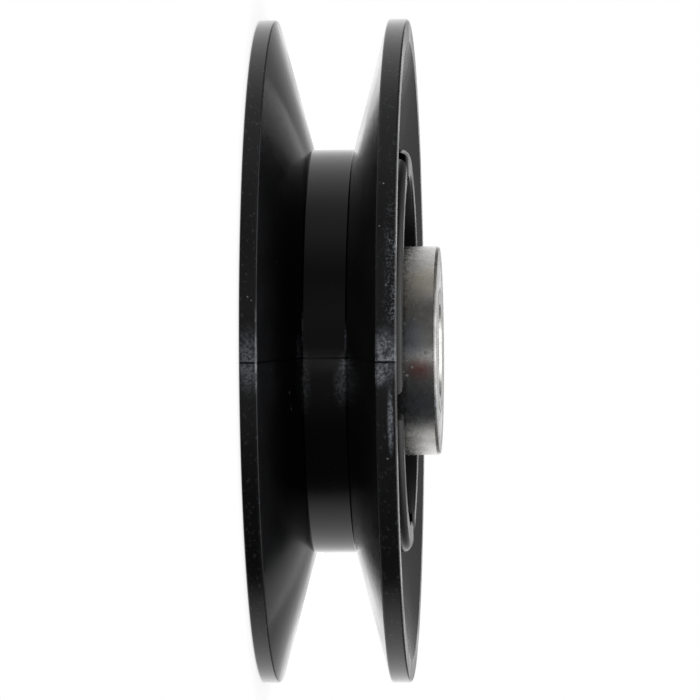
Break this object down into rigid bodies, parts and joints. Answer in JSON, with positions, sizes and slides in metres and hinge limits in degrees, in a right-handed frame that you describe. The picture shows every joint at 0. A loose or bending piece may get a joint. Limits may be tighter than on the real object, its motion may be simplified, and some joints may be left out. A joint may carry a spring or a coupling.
{
  "type": "idler pulley",
  "caption": "V-groove idler pulley: a moulded wheel with dished flanges, a notched core ring and a ribbed web, on a sealed ball bearing that stands proud of one side.",
  "frame": {"origin": "on the pulley's axis, in the plane of the rim face that it lies on", "axes": "+Z along the axis, from the plain side towards the side where the bearing stands proud; a notch of the core ring lies 15.9 degrees from +X towards +Y"},
  "size_m": [0.127, 0.127, 0.034],
  "materials": {
    "wheel_plastic": "satin black moulding",
    "ring_steel": "ground bearing steel",
    "ball_steel": "polished bearing steel",
    "cage_plastic": "natural moulded polyamide",
    "seal_rubber": "black nitrile rubber",
    "insert_steel": "pressed sheet"
  },
  "bodies": {
    "inner_race": {"inner_ring": "ring_steel"},
    "wheel": {"pulley_wheel": "wheel_plastic", "outer_ring": "ring_steel", "seal_lower": "seal_rubber", "seal_insert_lower": "insert_steel", "seal_upper": "seal_rubber", "seal_insert_upper": "insert_steel"},
    "lower_row": {"cage_lower": "cage_plastic"},
    "lower_ball_1": {"ball_lower_1": "ball_steel"},
    "lower_ball_2": {"ball_lower_2": "ball_steel"},
    "lower_ball_3": {"ball_lower_3": "ball_steel"},
    "lower_ball_4": {"ball_lower_4": "ball_steel"},
    "lower_ball_5": {"ball_lower_5": "ball_steel"},
    "lower_ball_6": {"ball_lower_6": "ball_steel"},
    "lower_ball_7": {"ball_lower_7": "ball_steel"},
    "lower_ball_8": {"ball_lower_8": "ball_steel"},
    "upper_row": {"cage_upper": "cage_plastic"},
    "upper_ball_1": {"ball_upper_1": "ball_steel"},
    "upper_ball_2": {"ball_upper_2": "ball_steel"},
    "upper_ball_3": {"ball_upper_3": "ball_steel"},
    "upper_ball_4": {"ball_upper_4": "ball_steel"},
    "upper_ball_5": {"ball_upper_5": "ball_steel"},
    "upper_ball_6": {"ball_upper_6": "ball_steel"},
    "upper_ball_7": {"ball_upper_7": "ball_steel"},
    "upper_ball_8": {"ball_upper_8": "ball_steel"}
  },
  "joints": [
    {"name": "wheel_spin", "type": "hinge", "parent": "inner_race", "child": "wheel", "pos_m": [0, 0, 0.02525], "axis": [0, 0, 1], "continuous": true},
    {"name": "lower_row_orbit", "type": "hinge", "parent": "inner_race", "child": "lower_row", "pos_m": [0, 0, 0.02525], "axis": [0, 0, 1], "continuous": true},
    {"name": "lower_ball_1_roll", "type": "hinge", "parent": "lower_row", "child": "lower_ball_1", "pos_m": [0.01316, 0.00545, 0.0219], "axis": [0, 0, 1], "continuous": true},
    {"name": "lower_ball_2_roll", "type": "hinge", "parent": "lower_row", "child": "lower_ball_2", "pos_m": [0.00545, 0.01316, 0.0219], "axis": [0, 0, 1], "continuous": true},
    {"name": "lower_ball_3_roll", "type": "hinge", "parent": "lower_row", "child": "lower_ball_3", "pos_m": [-0.00545, 0.01316, 0.0219], "axis": [0, 0, 1], "continuous": true},
    {"name": "lower_ball_4_roll", "type": "hinge", "parent": "lower_row", "child": "lower_ball_4", "pos_m": [-0.01316, 0.00545, 0.0219], "axis": [0, 0, 1], "continuous": true},
    {"name": "lower_ball_5_roll", "type": "hinge", "parent": "lower_row", "child": "lower_ball_5", "pos_m": [-0.01316, -0.00545, 0.0219], "axis": [0, 0, 1], "continuous": true},
    {"name": "lower_ball_6_roll", "type": "hinge", "parent": "lower_row", "child": "lower_ball_6", "pos_m": [-0.00545, -0.01316, 0.0219], "axis": [0, 0, 1], "continuous": true},
    {"name": "lower_ball_7_roll", "type": "hinge", "parent": "lower_row", "child": "lower_ball_7", "pos_m": [0.00545, -0.01316, 0.0219], "axis": [0, 0, 1], "continuous": true},
    {"name": "lower_ball_8_roll", "type": "hinge", "parent": "lower_row", "child": "lower_ball_8", "pos_m": [0.01316, -0.00545, 0.0219], "axis": [0, 0, 1], "continuous": true},
    {"name": "upper_row_orbit", "type": "hinge", "parent": "inner_race", "child": "upper_row", "pos_m": [0, 0, 0.02525], "axis": [0, 0, 1], "continuous": true},
    {"name": "upper_ball_1_roll", "type": "hinge", "parent": "upper_row", "child": "upper_ball_1", "pos_m": [0.01425, 0, 0.0286], "axis": [0, 0, 1], "continuous": true},
    {"name": "upper_ball_2_roll", "type": "hinge", "parent": "upper_row", "child": "upper_ball_2", "pos_m": [0.01008, 0.01008, 0.0286], "axis": [0, 0, 1], "continuous": true},
    {"name": "upper_ball_3_roll", "type": "hinge", "parent": "upper_row", "child": "upper_ball_3", "pos_m": [0, 0.01425, 0.0286], "axis": [0, 0, 1], "continuous": true},
    {"name": "upper_ball_4_roll", "type": "hinge", "parent": "upper_row", "child": "upper_ball_4", "pos_m": [-0.01008, 0.01008, 0.0286], "axis": [0, 0, 1], "continuous": true},
    {"name": "upper_ball_5_roll", "type": "hinge", "parent": "upper_row", "child": "upper_ball_5", "pos_m": [-0.01425, 0, 0.0286], "axis": [0, 0, 1], "continuous": true},
    {"name": "upper_ball_6_roll", "type": "hinge", "parent": "upper_row", "child": "upper_ball_6", "pos_m": [-0.01008, -0.01008, 0.0286], "axis": [0, 0, 1], "continuous": true},
    {"name": "upper_ball_7_roll", "type": "hinge", "parent": "upper_row", "child": "upper_ball_7", "pos_m": [0, -0.01425, 0.0286], "axis": [0, 0, 1], "continuous": true},
    {"name": "upper_ball_8_roll", "type": "hinge", "parent": "upper_row", "child": "upper_ball_8", "pos_m": [0.01008, -0.01008, 0.0286], "axis": [0, 0, 1], "continuous": true}
  ],
  "couplings": [
    {"joint": "lower_row_orbit", "follows": "wheel_spin", "ratio": 0.61141},
    {"joint": "lower_ball_1_roll", "follows": "wheel_spin", "ratio": 2.1325},
    {"joint": "lower_ball_2_roll", "follows": "wheel_spin", "ratio": 2.1325},
    {"joint": "lower_ball_3_roll", "follows": "wheel_spin", "ratio": 2.1325},
    {"joint": "lower_ball_4_roll", "follows": "wheel_spin", "ratio": 2.1325},
    {"joint": "lower_ball_5_roll", "follows": "wheel_spin", "ratio": 2.1325},
    {"joint": "lower_ball_6_roll", "follows": "wheel_spin", "ratio": 2.1325},
    {"joint": "lower_ball_7_roll", "follows": "wheel_spin", "ratio": 2.1325},
    {"joint": "lower_ball_8_roll", "follows": "wheel_spin", "ratio": 2.1325},
    {"joint": "upper_row_orbit", "follows": "wheel_spin", "ratio": 0.61141},
    {"joint": "upper_ball_1_roll", "follows": "wheel_spin", "ratio": 2.1325},
    {"joint": "upper_ball_2_roll", "follows": "wheel_spin", "ratio": 2.1325},
    {"joint": "upper_ball_3_roll", "follows": "wheel_spin", "ratio": 2.1325},
    {"joint": "upper_ball_4_roll", "follows": "wheel_spin", "ratio": 2.1325},
    {"joint": "upper_ball_5_roll", "follows": "wheel_spin", "ratio": 2.1325},
    {"joint": "upper_ball_6_roll", "follows": "wheel_spin", "ratio": 2.1325},
    {"joint": "upper_ball_7_roll", "follows": "wheel_spin", "ratio": 2.1325},
    {"joint": "upper_ball_8_roll", "follows": "wheel_spin", "ratio": 2.1325}
  ]
}
